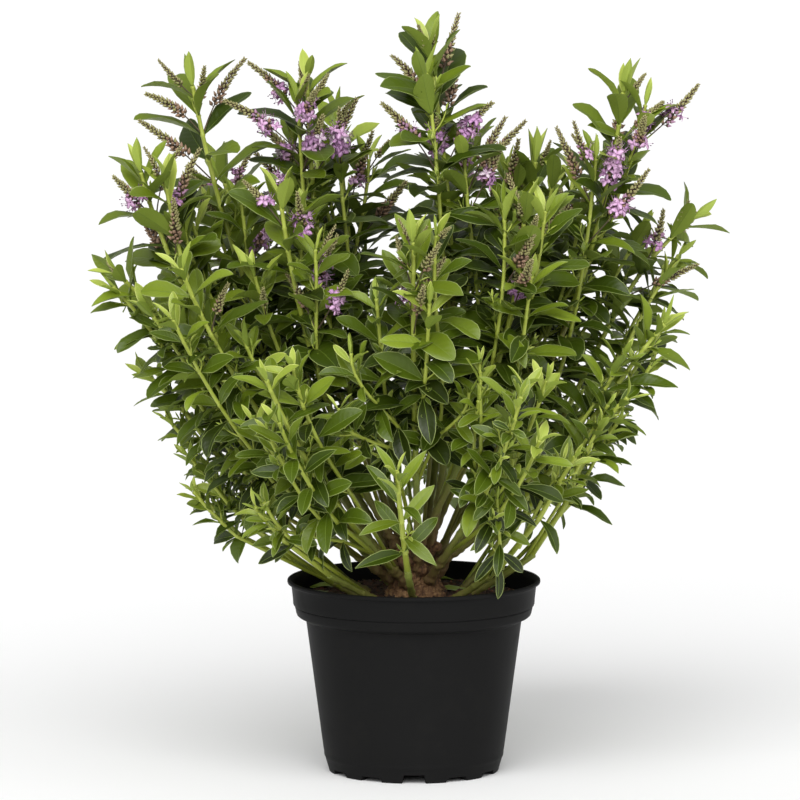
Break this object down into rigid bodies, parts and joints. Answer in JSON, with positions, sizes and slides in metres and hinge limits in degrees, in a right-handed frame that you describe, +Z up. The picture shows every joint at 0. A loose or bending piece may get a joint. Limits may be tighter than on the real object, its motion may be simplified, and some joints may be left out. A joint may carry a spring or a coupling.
{
  "type": "potted hebe shrub",
  "caption": "Rounded evergreen hebe shrub with leafy upright shoots and flower spikes, growing in a tapered round nursery pot.",
  "frame": {"origin": "on the pot's upright axis, at the level that the pot stands on", "axes": "+Z up, +Y from the plant's front to its back, +X to the right seen from the front"},
  "size_m": [0.4752, 0.416, 0.5669],
  "materials": {
    "pot": "satin",
    "compost": "matte",
    "bark": "matte",
    "stems": "satin",
    "leaves": "satin"
  },
  "bodies": {
    "root": {"bough_back_centre_left": "stems", "bough_back_centre_right": "stems", "bough_back_left": "stems", "bough_back_left_low": "stems", "bough_back_low": "stems", "bough_back_right": "stems", "bough_back_right_low": "stems", "bough_far_left": "stems", "bough_far_right": "stems", "bough_front_centre": "stems", "bough_front_left": "stems", "bough_front_left_foot": "stems", "bough_front_left_low": "stems", "bough_front_low": "stems", "bough_front_right": "stems", "bough_front_right_low": "stems", "bough_left_low": "stems", "bough_left_mid": "stems", "bough_left_upper": "stems", "bough_mid_left": "stems", "bough_mid_right": "stems", "bough_mid_right_back": "stems", "bough_right_low": "stems", "bough_right_side": "stems", "bough_top_centre": "stems", "bough_top_centre_left": "stems", "bough_top_left": "stems", "bough_top_right": "stems", "compost": "compost", "foliage_back_centre_left": "leaves", "foliage_back_centre_right": "leaves", "foliage_back_left": "leaves", "foliage_back_left_low": "leaves", "foliage_back_low": "leaves", "foliage_back_right": "leaves", "foliage_back_right_low": "leaves", "foliage_far_left": "leaves", "foliage_far_right": "leaves", "foliage_front_centre": "leaves", "foliage_front_left": "leaves", "foliage_front_left_foot": "leaves", "foliage_front_left_low": "leaves", "foliage_front_low": "leaves", "foliage_front_right": "leaves", "foliage_front_right_low": "leaves", "foliage_left_low": "leaves", "foliage_left_mid": "leaves", "foliage_left_upper": "leaves", "foliage_mid_left": "leaves", "foliage_mid_right": "leaves", "foliage_mid_right_back": "leaves", "foliage_right_low": "leaves", "foliage_right_side": "leaves", "foliage_top_centre": "leaves", "foliage_top_centre_left": "leaves", "foliage_top_left": "leaves", "foliage_top_right": "leaves", "pot": "pot", "trunk": "bark"}
  },
  "joints": []
}
